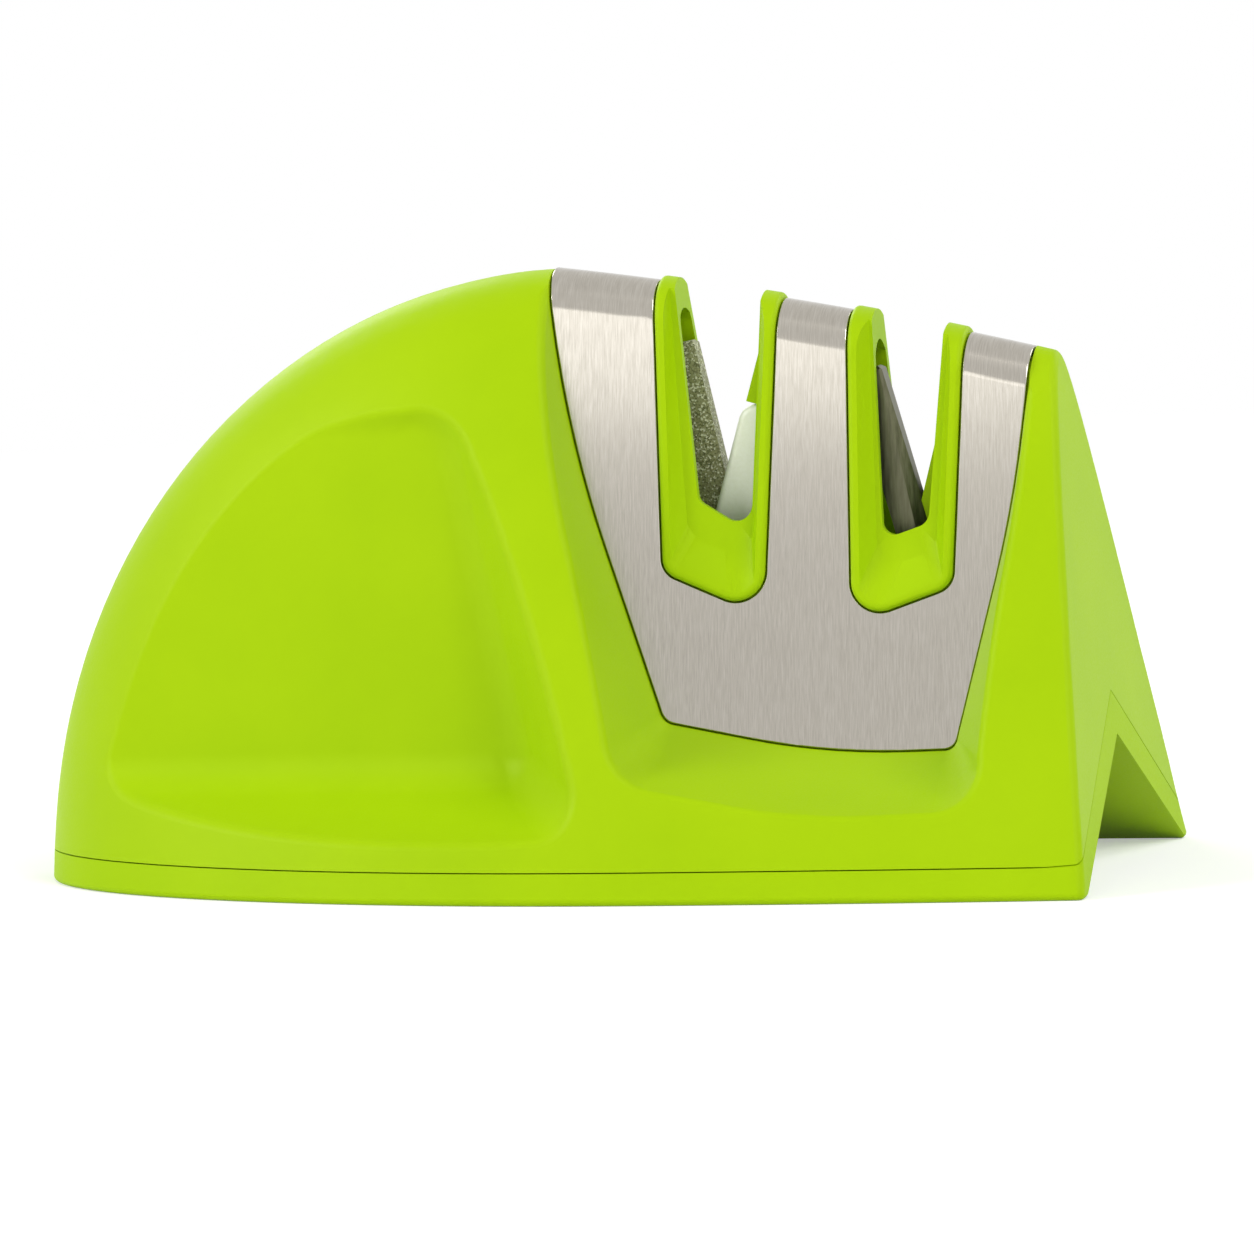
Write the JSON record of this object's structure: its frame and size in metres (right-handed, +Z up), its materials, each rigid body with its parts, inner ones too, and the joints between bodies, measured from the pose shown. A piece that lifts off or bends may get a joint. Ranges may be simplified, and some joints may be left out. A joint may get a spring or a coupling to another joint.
{
  "type": "pull through knife sharpener",
  "caption": "Hand-held pull-through knife sharpener with a domed handle, steel-clad ridge with coarse and fine knife slots, and a soft inverted-V base that grips a worktop edge.",
  "frame": {"origin": "middle of the footprint, on the surface that the sharpener stands on", "axes": "+X from the handle towards the slots and the end face, +Y away from the user, +Z up"},
  "size_m": [0.1069, 0.0554, 0.0585],
  "materials": {
    "lime_plastic": "satin moulded, fine grain",
    "lime_grip": "soft matte",
    "frame_plastic": "plain moulded",
    "brushed_steel": "brushed upright",
    "adhesive_tape": "matte",
    "screw_steel": "zinc plated",
    "diamond_grit": "gritty, sparkling",
    "white_ceramic": "fine matte",
    "carbide": "ground, gunmetal"
  },
  "bodies": {
    "root": {"housing": "lime_plastic", "saddle_plate": "brushed_steel", "plate_tape_front": "adhesive_tape", "plate_tape_rear": "adhesive_tape", "base_frame": "frame_plastic", "grip_skin": "lime_grip", "base_screws": "screw_steel", "fine_holder_front": "lime_plastic", "fine_holder_rear": "lime_plastic", "fine_holder_screws": "screw_steel", "diamond_bar": "diamond_grit", "ceramic_stick": "white_ceramic", "coarse_holder_front": "lime_plastic", "coarse_holder_rear": "lime_plastic", "coarse_holder_screws": "screw_steel", "carbide_left": "carbide", "carbide_right": "carbide"}
  },
  "joints": []
}
